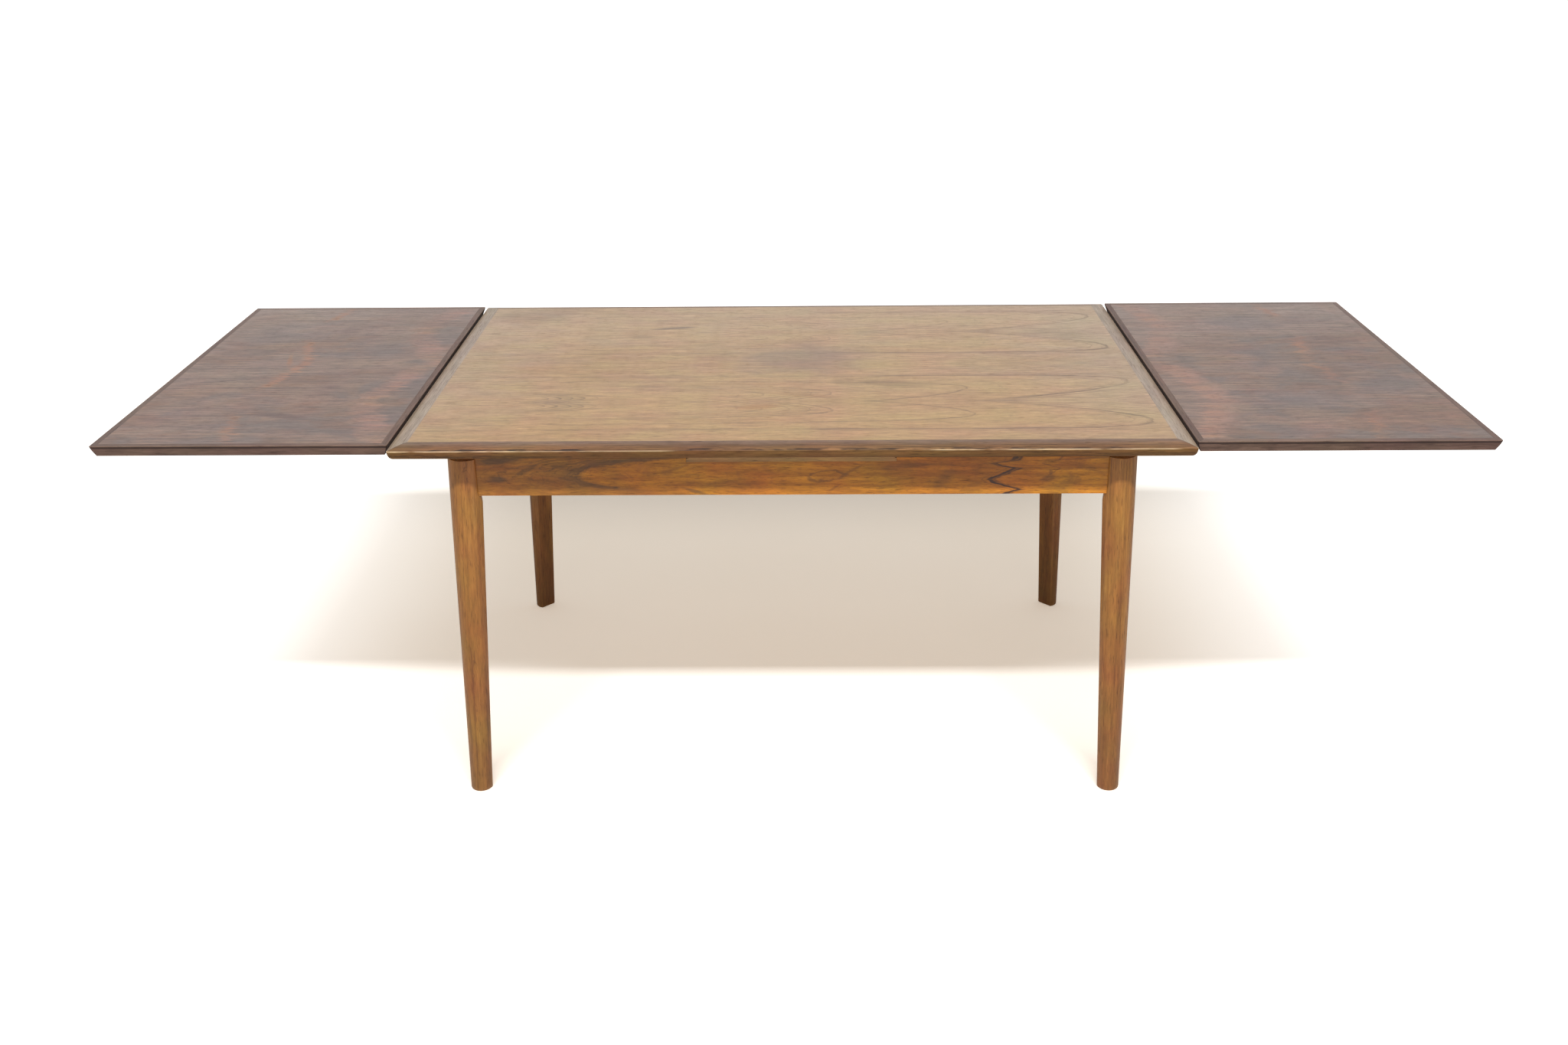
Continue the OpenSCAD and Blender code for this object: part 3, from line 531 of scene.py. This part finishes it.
def field_finish():
    """The fold makes each seam a mirror of the figure. The stronger rings are drawn dark, and herring is a
    set of close ones near the front left corner. The colour greys to both ends and warms to the front, and a
    painted reflection of the white surround pales it to the back."""
    f = Finish("field_veneer")
    plain = f.add("TexCoord", {}, "Object")
    x, y, z = f.axes(plain)
    fold = abs(abs(y - MIDDLE_SEAM) - SEAM_APART)
    g = Figure(f, f.point(x, fold, z - TABLE_TOP), heart=(0.042, 0.07, 0.054), depth=(0.085, 0.075),
               pitch=0.0031, bend=0.0024, waver=0.0016)
    ragged = f.noise(f.stretch(plain, 7.0, 16.0, (0.3, 0.9, 0.1)), 1.0, 4.0, 0.6, 0.3)
    colour = f.shades(g.streak, (0.25, seen(158, 125, 88)), (0.45, seen(171, 138, 100)),
                      (0.58, seen(176, 143, 105)), (0.8, seen(188, 156, 118)))
    colour = f.blend(f.step(g.cloud, 0.44, 0.72, 0.35), colour, seen(148, 116, 84))
    colour = f.blend(f.step(ragged, 0.5, 0.7, 0.3), colour, seen(146, 120, 98))
    colour = f.blend(f.step(g.radius, 0.128, 0.137, 0.3) * f.step(x, 0.2, 0.5), colour, seen(154, 132, 110))
    tear = (ragged - 0.5) * 0.3
    colour = f.blend(f.step(abs(x + 0.02) + tear, 0.42, 0.7, 0.5), colour, seen(170, 150, 130))
    # Painted reflection: the white surround's sheen, painted as a paler, greyer colour towards the back.
    colour = f.blend(f.step(y + tear, -0.05, 0.45, 0.5), colour, seen(186, 163, 139))
    colour = f.blend(f.step(y * -1.0 + tear, 0.05, 0.42, 0.45), colour, seen(170, 132, 84))
    patchy = f.step(f.noise(f.stretch(plain, 9.0, 12.0, (0.8, 0.2, 0.0)), 1.0, 3.0), 0.34, 0.6)
    shake = (ragged - 0.5) * 0.0024 + (g.quiver - 0.5) * 0.0009
    rings = drawn_rings(f, g, shake, (0.0772, 0.003, 0.45), (0.0805, 0.004, 0.6), (0.0845, 0.004, 0.6),
                        (0.0875, 0.003, 0.6), (0.0905, 0.005, 0.8), (0.11, 0.005, 0.7),
                        (0.1315, 0.003, 0.5), (0.134, 0.006, 1.0), (0.1385, 0.004, 0.5),
                        (0.162, 0.003, 0.4))
    fainter_behind = 1.0 - f.step(y, 0.02, 0.24, 0.45)
    rings = rings * (patchy * 0.55 + 0.32) * (f.step(x, -0.5, 0.3) * 0.5 + 0.5) * fainter_behind
    colour = f.blend(rings, colour, seen(82, 64, 50))
    herring = drawn_rings(f, g, shake * 0.6, (0.0508, 0.003, 0.8), (0.0526, 0.004, 1.0), (0.0544, 0.003, 0.9),
                          (0.0562, 0.004, 1.0), (0.058, 0.003, 0.8), (0.0596, 0.003, 0.6))
    herring = herring * f.within(x, -0.5, -0.37, 0.05) * f.step(y, 0.1, -0.1, 0.75)
    colour = f.blend(herring * (patchy * 0.2 + 0.85), colour, seen(84, 68, 56))
    colour = f.blend(g.line * (f.step(x, -0.3, 0.5) * 0.2 + 0.1), colour, seen(104, 80, 58))
    colour = f.blend(g.fleck * 0.3, colour, seen(124, 96, 68))
    wedge = f.within(g.radius, 0.1355, 0.152, 0.003) * (1.0 - f.step(fold, 0.012, 0.05))
    wedge = wedge * f.within(x, 0.33, 0.41, 0.04)
    colour = f.blend(wedge * (ragged * 0.6 + 0.25), colour, seen(92, 80, 70))
    colour = f.patched(plain, colour, ragged, (
        ((0.02, 0.045), (0.16, 0.1), 0.1, 0.6, (124, 105, 96)),
        ((0.19, -0.117), (0.09, 0.022), -0.2, 0.55, (112, 86, 62)),
        ((0.1, -0.1), (0.03, 0.03), 0.0, 0.35, (112, 84, 62)),
        ((-0.25, 0.256), (0.05, 0.009), 0.18, 0.75, (98, 84, 74)),
        ((-0.32, 0.19), (0.04, 0.016), -0.1, 0.4, (118, 92, 76)),
        ((-0.59, 0.32), (0.06, 0.05), 0.4, 0.35, (150, 104, 80)),
        ((-0.56, 0.36), (0.12, 0.06), 0.2, 0.35, (120, 102, 88)),
        ((0.56, 0.2), (0.1, 0.05), -0.2, 0.3, (112, 94, 80)),
        ((-0.15, 0.07), (0.06, 0.05), 0.6, 0.3, (132, 102, 76)),
        ((-0.06, -0.245), (0.05, 0.016), 0.2, 0.5, (146, 92, 52)),
        ((0.02, -0.18), (0.07, 0.012), -0.2, 0.4, (138, 98, 64)),
        ((-0.43, -0.21), (0.05, 0.04), 0.0, 0.14, (126, 108, 92))))
    colour = f.blend(f.near(fold, 0.0002, 0.0006, 0.3), colour, seen(104, 80, 60))
    colour = f.blend(g.fibre * 0.3, colour, seen(142, 112, 78))
    colour = f.blend(g.pore * 0.5, colour, seen(92, 68, 46))
    return oiled(f, g, colour, 0.42, 0.45)


dress("top_panel", field_finish())

# Main top, lipping: solid rosewood mitred round the field. Its upper face falls in a soft convex
# curve to a worn arris, and below the arris it rounds back under. Rubbed pale along the arris, with a painted
# highlight.


def lipping(name, half, centre, side, profile, wear_and_highlight_of, corner, material, body, slot, replaced, seed):
    """One side of a mitred frame. The outline at a distance in from the edge is a rectangle whose corners
    are rounded by the corner radius less that distance. The profile, pairs of distance in and height, is
    carried along it from mitre to mitre; side is the outward direction, 0 right, 1 back, 2 left, 3 front.
    seed chooses the part of the log that the grain comes from."""
    inward, height = profile[:, 0], profile[:, 1]
    half_along, half_out = (half[1], half[0]) if side % 2 == 0 else (half[0], half[1])
    turn = np.linspace(0, math.pi / 4, 6)
    by_the_mitre = np.array([0, 0.0006, 0.0018, 0.005, 0.02])
    stations = np.unique(np.concatenate([by_the_mitre - 1, np.linspace(-0.9, 0.9, 37), 1 - by_the_mitre]))
    r = np.maximum(corner - inward, 0.0)[None, :]
    straight = half_along - np.maximum(corner, inward)[None, :]
    arc_u = np.sin(turn[1:, None]) * r
    arc_v = -(1 - np.cos(turn[1:, None])) * r
    u = np.concatenate([-(straight + arc_u[::-1]), stations[:, None] * straight, straight + arc_u])
    v = np.concatenate([arc_v[::-1], 0 * stations[:, None] * straight, arc_v]) + half_out - inward[None, :]
    z = np.broadcast_to(height[None, :], u.shape)
    x, y = (v, u) if side == 0 else (-u, v) if side == 1 else (-v, -u) if side == 2 else (u, -v)
    rows = np.stack([x + centre[0], y + centre[1], z], -1)
    deep = np.broadcast_to(inward[None, :], u.shape)
    grain = np.stack([u + 3.0 * seed, deep + 0.3 * seed, z], -1)
    wear = np.clip(np.broadcast_to(wear_and_highlight_of(inward, height)[None, :], u.shape), 0, 1)
    off = np.abs(half_along - np.abs(u) - inward[None, :])
    skinned(name, rows, material, body, slot, replaced, wear=wear, grain=grain, mitre=off, deep=deep)


def lipping_finish(name, arris, light, mid, dark, line, rub_and_highlight, sheen_grey, edge, rubbed=(), inky=()):
    """arris is the height of the arris, sheen_grey what the colour greys to at the field side as a painted
    sheen, and edge what it darkens to below the arris, how much, and how dark the line of painted shade just
    under the arris is. rubbed and inky are the stretches along X, from and to, where the arris is rubbed pale
    and painted with a highlight and where a dark line runs beside it, each with its strength."""
    f = Finish(name)
    place, deep = f.own("grain"), f.own("deep", "Fac")
    x, _, z = f.axes(f.add("TexCoord", {}, "Object"))
    above = f.step(z, arris - 0.0006, arris + 0.0003)
    g = Figure(f, place, heart=(0.02, 0.0, 0.0), depth=(0.05, 0.004), pitch=0.003, bend=0.008, waver=0.003)
    colour = f.shades(g.streak, (0.28, dark), (0.46, mid), (0.74, light))
    colour = f.blend(f.step(g.cloud, 0.44, 0.7, 0.6), colour, dark)
    ragged = f.noise(f.stretch(place, 11.0, 60.0), 1.0, 3.0, 0.6)
    # Painted sheen: the upper face greys towards the field side.
    colour = f.blend(f.step(deep + (ragged - 0.5) * 0.02, 0.008, 0.026, 0.75) * above, colour, sheen_grey)
    colour = f.blend((1.0 - above) * edge[1], colour, edge[0])
    # Painted shade: a dark line just under the arris, used on the leaf lippings.
    colour = f.blend(f.within(z, arris - 0.0048, arris - 0.0002, 0.0006) * edge[2], colour, line)
    colour = f.blend(g.line * 0.7, colour, line)
    colour = f.blend(g.fibre * 0.3, colour, dark)
    colour = f.blend(g.pore * 0.6, colour, line)
    specks = f.noise(f.stretch(place, 30.0, 220.0, (1.0, 4.0, 0.0)), 1.0, 3.0, 0.6)
    beside = f.near(deep + (ragged - 0.5) * 0.007 - 0.0026, 0.0012, 0.003)
    for start, end, strength in inky:
        band = f.within(x + (ragged - 0.5) * 0.12, start, end, 0.02) * beside
        colour = f.blend(band * f.step(specks, 0.42, 0.6) * above * strength, colour, seen(34, 24, 22))
    patchy = f.step(ragged, 0.3, 0.5, 0.95)
    if rubbed:
        (start, end, strength), *others = rubbed
        worn = f.within(x, start, end, 0.02) * strength
        for start, end, strength in others:
            worn = worn + f.within(x + (ragged - 0.5) * 0.1, start, end, 0.02) * strength
        patchy = patchy * worn
    # Wear and a painted highlight: the arris is paled where it is rubbed and where it catches the light.
    colour = f.blend(f.own("wear", "Fac") * patchy, colour, rub_and_highlight)
    colour = f.blend(f.near(f.own("mitre", "Fac"), 0.0002, 0.0008, 0.75), colour, line)
    return oiled(f, g, colour, (1.0 - above) * 0.45 + 0.4, 0.25)


LIP_WIDE = 0.031
LIP_FALL = 0.0065
LIP_IN = 0.013
ARRIS = 0.7285


def top_profile():
    """From the field out: height falls by LIP_FALL times (1 - t) to the 1.7 power, t running from the arris
    in; then a quarter ellipse, LIP_IN wide, down to the board. A short curve eases the arris between
    them: two ends and a tip weighed by (1 - s) squared, 2 s (1 - s) and s squared."""
    t = np.linspace(1, 0.035, 26)
    upper = np.stack([LIP_WIDE * t, TABLE_TOP - LIP_FALL * (1 - t) ** 1.7], -1)
    a = np.radians(np.linspace(4, 90, 18))
    lower = np.stack([LIP_IN * (1 - np.cos(a)), ARRIS - (ARRIS - BOARD_TOP) * np.sin(a)], -1)
    tip = np.array([0.0, ARRIS])
    s = np.linspace(0, 1, 7)[1:-1, None]
    eased = (1 - s) ** 2 * upper[-1] + 2 * s * (1 - s) * tip + s ** 2 * lower[0]
    under = np.array([[0.018, BOARD_TOP], [LIP_WIDE - 0.0004, BOARD_TOP], [LIP_WIDE, BOARD_TOP + 0.0004]])
    return np.concatenate([upper, eased, lower, under])


# Wear and a painted highlight along the main top's arris.
def arris_wear_and_highlight(inward, height):
    """A bell in the distance in from the arris times a bell in the height from it, each about 1 mm wide."""
    return np.exp(-((inward / 0.0011) ** 2)) * np.exp(-(((height - ARRIS + 0.0001) / 0.0008) ** 2))


SIDE_SHADES = dict(light=seen(162, 120, 80), mid=seen(131, 94, 62), dark=seen(94, 66, 44),
                   line=seen(46, 32, 24), rub_and_highlight=seen(214, 186, 150), sheen_grey=seen(116, 96, 85),
                   edge=(seen(100, 68, 32), 0.82, 0.0))
END_SHADES = dict(light=seen(172, 151, 132), mid=seen(154, 134, 115), dark=seen(134, 114, 97),
                  line=seen(114, 95, 80), rub_and_highlight=seen(198, 177, 155), sheen_grey=seen(154, 139, 126),
                  edge=(seen(104, 74, 46), 0.6, 0.0))
lip_front = lipping_finish("lipping_front", ARRIS, **SIDE_SHADES,
                           rubbed=((-0.7, -0.21, 0.72), (-0.7, -0.44, 0.35), (0.25, 0.67, 1.0)),
                           inky=((-0.66, -0.36, 0.95), (-0.2, 0.23, 0.8), (0.25, 0.6, 0.75)))
lip_back = lipping_finish("lipping_back", ARRIS, **SIDE_SHADES, inky=((-0.5, 0.1, 0.8), (0.3, 0.6, 0.7)))
lip_end = lipping_finish("lipping_end", ARRIS, **END_SHADES)
TOP_HALF = (0.698, 0.446)
TOP_CORNER = 0.004
TOP_SIDES = (("right", lip_end), ("back", lip_back), ("left", lip_end), ("front", lip_front))
for side, (where, finish) in enumerate(TOP_SIDES):
    lipping("top_lipping_" + where, TOP_HALF, (0, 0), side, top_profile(), arris_wear_and_highlight, TOP_CORNER, finish,
            "top", "top_lipping", ["top_lip_" + where], side + 1)

# Leaves: a veneered panel in a mitred lipping, bevelled back underneath. Kept out of the light
# under the main top, they have stayed dark. An orange flame zigzags across each near the main
# top, and a fainter one further out, between clouds of plum, grey-blue and red-brown.

LEAF_START = 0.6995


def leaf_finish(name, sign, shift, outer, marks):
    """sign is the side of the table, outer how far out the second flame starts, marks the patches."""
    f = Finish(name)
    plain = f.add("TexCoord", {}, "Object")
    x, y, z = f.axes(plain)
    out = x * sign - LEAF_START
    fold = f.calc("PINGPONG", y - 0.25, 0.225)
    g = Figure(f, f.point(out, fold, z - TABLE_TOP), heart=(0.1, 0.1, 0.0), depth=(0.07, 0.12),
               pitch=0.0036, bend=0.01, waver=0.004, shift=shift)
    ragged = f.noise(f.stretch(plain, 9.0, 14.0, (0.3 + shift[0], 0.9, 0.1)), 1.0, 4.0, 0.62, 0.4)
    colour = f.shades(g.streak, (0.28, seen(101, 80, 70)), (0.45, seen(120, 96, 83)),
                      (0.58, seen(130, 104, 90)), (0.76, seen(148, 120, 102)))
    grey = f.noise(f.stretch(plain, 4.2, 6.0, (0.4 + shift[0], 0.1, 0.0)), 1.0, 4.0, 0.62, 0.4)
    colour = f.blend(f.step(grey, 0.48, 0.6, 0.7), colour, seen(94, 84, 82))
    brown = f.noise(f.stretch(plain, 4.4, 9.0, (2.4 + shift[0], 1.1, 0.0)), 1.0, 4.0, 0.62, 0.3)
    colour = f.blend(f.step(brown, 0.5, 0.62, 0.55), colour, seen(118, 80, 56))
    # Painted reflection: the white surround's sheen, painted as a paler, greyer colour towards the back.
    colour = f.blend(f.step(y + (ragged - 0.5) * 0.3, 0.05, 0.45, 0.55), colour, seen(150, 131, 120))
    colour = f.patched(plain, colour, ragged, marks)
    torn = (ragged - 0.5) * 0.05 + (g.streak - 0.5) * 0.09 + (g.mottle - 0.5) * 0.03
    broken = f.noise(f.stretch(plain, 5.0, 11.0, (1.7 + shift[0], 0.2, 0.0)), 1.0, 2.0, 0.5, 0.6)
    pieces = f.step(broken, 0.4, 0.56)
    flame = f.near(out - 0.1 + fold * 0.33 + torn, 0.022, 0.014)
    colour = f.blend(flame * (pieces * 0.3 + 0.3), colour, seen(154, 117, 99))
    core = f.near(out - 0.098 + fold * 0.33 + torn, 0.008, 0.014) * f.step(g.streak, 0.42, 0.6)
    colour = f.blend(core * (pieces * 0.3 + 0.15), colour, seen(164, 114, 84))
    second = f.near(out - outer + fold * 0.22 + torn, 0.003, 0.012) * f.step(fold, 0.05, 0.1)
    colour = f.blend(second * (f.step(grey, 0.6, 0.44, 0.4) + 0.25), colour, seen(162, 106, 72))
    third = f.near(out - outer - 0.14 + fold * 0.2 + torn, 0.002, 0.014) * f.step(fold, 0.05, 0.1)
    colour = f.blend(third * 0.15, colour, seen(150, 108, 82))
    colour = f.blend(f.step(g.streak, 0.52, 0.36, 0.35), colour, seen(92, 70, 62))
    colour = f.blend(g.line * 0.35, colour, seen(78, 58, 52))
    colour = f.blend(g.fleck * 0.4, colour, seen(80, 58, 50))
    colour = f.blend(g.fibre * 0.35, colour, seen(94, 72, 62))
    colour = f.blend(g.pore * 0.5, colour, seen(58, 44, 40))
    return oiled(f, g, colour, 0.4, 0.45, lively=0.9)


LEAF_LIP = 0.012
LEAF_UNDER = 0.7145
BEVEL_IN = 0.0075
BEVEL_TOP = 0.7334


def leaf_profile():
    """From the panel out: flat, an arris eased to a small quarter round, 1.6 mm of square edge, then a
    straight bevel that runs BEVEL_IN back underneath."""
    r = 0.0007
    flat = np.stack([np.linspace(LEAF_LIP, r, 6), np.full(6, TABLE_TOP)], -1)
    a = np.radians(np.linspace(18, 90, 5))
    arris = np.stack([r - r * np.sin(a), TABLE_TOP - r + r * np.cos(a)], -1)
    low = np.array([[0.0, 0.7337], [0.00012, 0.7333], [0.0004, 0.7325]])
    t = np.linspace(0.06, 1, 8)[:, None]
    bevel = np.array([0.0, BEVEL_TOP]) + t * np.array([BEVEL_IN, LEAF_UNDER - BEVEL_TOP])
    under = np.array([[0.0086, LEAF_UNDER], [LEAF_LIP, LEAF_UNDER], [LEAF_LIP + 0.0001, LEAF_UNDER + 0.0004]])
    return np.concatenate([flat, arris, low, bevel, under])


# Wear and a painted highlight along the leaf's arris, weaker than on the main top.
def leaf_wear_and_highlight(inward, height):
    """The main top's two bells, a third as strong, on the upper arris."""
    return 0.35 * np.exp(-((inward / 0.0008) ** 2)) * np.exp(-(((height - TABLE_TOP + 0.0004) / 0.0009) ** 2))


LEAF_SHADES = dict(light=seen(128, 98, 82), mid=seen(108, 82, 68), dark=seen(84, 62, 54),
                   line=seen(48, 36, 34), rub_and_highlight=seen(150, 124, 106), sheen_grey=seen(108, 88, 79))
# Both leaf lippings carry a line of painted shade just under the arris.
lip_leaf = lipping_finish("leaf_lipping_dark", 0.7345, **LEAF_SHADES, edge=(seen(104, 84, 76), 0.7, 0.95))
# The inner side faces the main top across a narrow gap: its edge below the arris is painted near black, a
# painted shade.
lip_leaf_inner = lipping_finish("leaf_lipping_inner", 0.7349, **LEAF_SHADES,
                                edge=(seen(38, 26, 24), 0.93, 0.9))
PLUM, BLUE, EARTH = (88, 66, 62), (98, 89, 88), (108, 74, 54)
dress("leaf_left_panel", leaf_finish("leaf_left_veneer", -1.0, (11.0, 0.0, 0.0), 0.335, (
    ((-0.958, -0.079), (0.1, 0.04), 0.0, 0.7, EARTH), ((-0.885, -0.12), (0.03, 0.022), 0.2, 0.6, PLUM),
    ((-1.105, -0.079), (0.08, 0.006), 0.23, 0.8, PLUM), ((-0.928, -0.283), (0.06, 0.016), -0.25, 0.8, PLUM),
    ((-1.12, 0.1), (0.07, 0.03), 0.1, 0.55, PLUM), ((-0.94, 0.27), (0.06, 0.04), 1.2, 0.4, PLUM),
    ((-1.1, 0.2), (0.09, 0.05), 0.2, 0.5, BLUE), ((-0.84, 0.11), (0.05, 0.06), 0.3, 0.5, BLUE),
    ((-1.022, 0.05), (0.008, 0.05), 0.25, 0.6, (156, 104, 58)),
    ((-1.15, 0.33), (0.09, 0.07), 0.0, 0.5, (134, 108, 88)),
    ((-1.13, -0.13), (0.06, 0.04), 0.4, 0.45, (138, 106, 84)),
    ((-1.1, -0.3), (0.1, 0.08), 0.0, 0.3, (116, 92, 92)))))
dress("leaf_right_panel", leaf_finish("leaf_right_veneer", 1.0, (14.3, 0.0, 0.0), 0.368, (
    ((0.97, 0.28), (0.09, 0.07), 0.3, 0.6, BLUE), ((1.1, 0.3), (0.07, 0.04), 0.0, 0.45, PLUM),
    ((1.13, -0.13), (0.09, 0.05), 0.2, 0.65, BLUE), ((0.95, -0.22), (0.11, 0.05), 0.1, 0.5, BLUE),
    ((1.06, 0.03), (0.11, 0.03), -0.1, 0.5, EARTH), ((1.05, -0.05), (0.06, 0.07), 0.3, 0.55, EARTH),
    ((0.9, 0.1), (0.1, 0.03), 0.0, 0.45, EARTH), ((0.88, 0.03), (0.06, 0.03), 0.0, 0.5, (140, 108, 84)),
    ((1.0, -0.34), (0.18, 0.03), 0.12, 0.4, (142, 104, 84)),
    ((0.9, 0.37), (0.16, 0.05), 0.0, 0.35, (136, 108, 92)),
    ((1.12, 0.36), (0.12, 0.08), 0.0, 0.4, (148, 132, 124)), ((1.1, 0.14), (0.07, 0.04), 0.0, 0.4, PLUM))))
LEAF_HALF = (0.26, 0.4305)
LEAF_CORNER = 0.003
for body, sign, sides in (("leaf_left", -1, ("inner", "back", "outer", "front")),
                          ("leaf_right", 1, ("outer", "back", "inner", "front"))):
    middle = (sign * (LEAF_START + LEAF_HALF[0]), 0)
    for side, where in enumerate(sides):
        lipping(f"{body}_lipping_{where}", LEAF_HALF, middle, side, leaf_profile(), leaf_wear_and_highlight, LEAF_CORNER,
                lip_leaf_inner if where == "inner" else lip_leaf,
                body, "leaf_lipping", [f"{body}_lip_{where}"], side + 7 + 5 * sign)

# Floor, light and camera: a pale floor that runs on into white, with painted shade round the table, a long
# soft lamp high in front that throws the main top's shadow on the aprons and the floor, and an even white
# surround.


def floor_finish():
    """Seen by the camera alone, the floor glows: warm and faint near the table, fainter in a patch behind
    it, and white far off. The warm faint glow and the fainter patch are painted shade round the table."""
    f = Finish("pale_floor")
    place = f.add("TexCoord", {}, "Object")
    tone = f.noise(place, 1.7, 4.0, 0.6)
    colour = f.shades(tone, (0.3, seen(250, 247, 241)), (0.7, seen(253, 251, 247)))
    f.feed(f.shader.inputs["Base Color"], colour)
    f.shader.inputs["Roughness"].default_value = 0.85
    f.shader.inputs["Specular IOR Level"].default_value = 0.2
    x, y, _ = f.axes(place)
    far_off = f.calc("MAXIMUM", f.step(abs(x + 0.04), 0.62, 1.5), f.step(abs(y - 0.2), 1.4, 2.6))
    f.feed(f.shader.inputs["Emission Color"], f.blend(far_off, (1.0, 0.86, 0.70), (1.0, 1.0, 1.0)))
    # Painted shade: the glow is lowered in a patch behind the table.
    behind = f.within(y, 1.0, 1.9, 0.3) * (1.0 - f.step(abs(x - 0.1), 0.8, 1.8))
    camera_alone = f.add("LightPath", {}, "Is Camera Ray")
    f.feed(f.shader.inputs["Emission Strength"], camera_alone * (far_off * 0.45 - behind * 0.2 + 0.38))
    return f.material


floor_mesh = bpy.data.meshes.new("floor")
floor_mesh.from_pydata([(-30, -30, 0), (30, -30, 0), (30, 30, 0), (-30, 30, 0)], [], [(0, 1, 2, 3)])
floor_mesh.materials.append(floor_finish())
floor = bpy.data.objects.new("floor", floor_mesh)
bpy.context.scene.collection.objects.link(floor)

# The surround sheds a dim and faintly warm light, and looks white to the camera and in reflections.
world = bpy.data.worlds.new("white_surround")
bpy.context.scene.world = world
world.use_nodes = True
tree = world.node_tree
sky = tree.nodes["Background"]
path = tree.nodes.new("ShaderNodeLightPath")
white = path.outputs["Is Camera Ray"]
for ray in ("Is Glossy Ray", "Is Transmission Ray"):
    either = tree.nodes.new("ShaderNodeMath")
    either.operation = "MAXIMUM"
    tree.links.new(white, either.inputs[0])
    tree.links.new(path.outputs[ray], either.inputs[1])
    white = either.outputs[0]
glow = tree.nodes.new("ShaderNodeMix")
glow.data_type = "RGBA"
glow.inputs[6].default_value = (0.37, 0.355, 0.335, 1.0)
glow.inputs[7].default_value = (1.0, 1.0, 1.0, 1.0)
tree.links.new(white, glow.inputs[0])
tree.links.new(glow.outputs[2], sky.inputs["Color"])

LAMPS = (("long_high_lamp", (4.0, 0.3), 330.0, (0.0, -3.61, 5.2), 53),
         ("low_front_fill", (4.0, 1.2), 22.0, (0.0, -5.0, 3.6), 33))
for name, size, watts, place, tilt in LAMPS:
    lamp_data = bpy.data.lights.new(name, "AREA")
    lamp_data.shape = "RECTANGLE"
    lamp_data.size, lamp_data.size_y = size
    lamp_data.energy = watts
    lamp = bpy.data.objects.new(name, lamp_data)
    lamp.location = place
    lamp.rotation_euler = (math.radians(90 - tilt), 0.0, 0.0)
    bpy.context.scene.collection.objects.link(lamp)

# The camera's turns in radians and its place in metres, as fitted to the outline in the photograph.
YAW, PITCH, ROLL = -0.01687, 0.42563, -0.01059
PLACE = (0.02645, -2.77107, 1.64692)
ahead = np.array([math.sin(YAW) * math.cos(PITCH), math.cos(YAW) * math.cos(PITCH), -math.sin(PITCH)])
right = np.array([math.cos(YAW), -math.sin(YAW), 0.0])
up = np.cross(right, ahead)
right, up = math.cos(ROLL) * right + math.sin(ROLL) * up, -math.sin(ROLL) * right + math.cos(ROLL) * up
camera_data = bpy.data.cameras.new("camera")
camera_data.sensor_width = 36.0
camera_data.lens = 33.43
camera_data.clip_end = 100.0
camera = bpy.data.objects.new("camera", camera_data)
bpy.context.scene.collection.objects.link(camera)
camera.matrix_world = Matrix([[right[i], up[i], -ahead[i], PLACE[i]] for i in range(3)] + [[0, 0, 0, 1]])
bpy.context.scene.camera = camera
bpy.context.scene.view_settings.view_transform = "Standard"
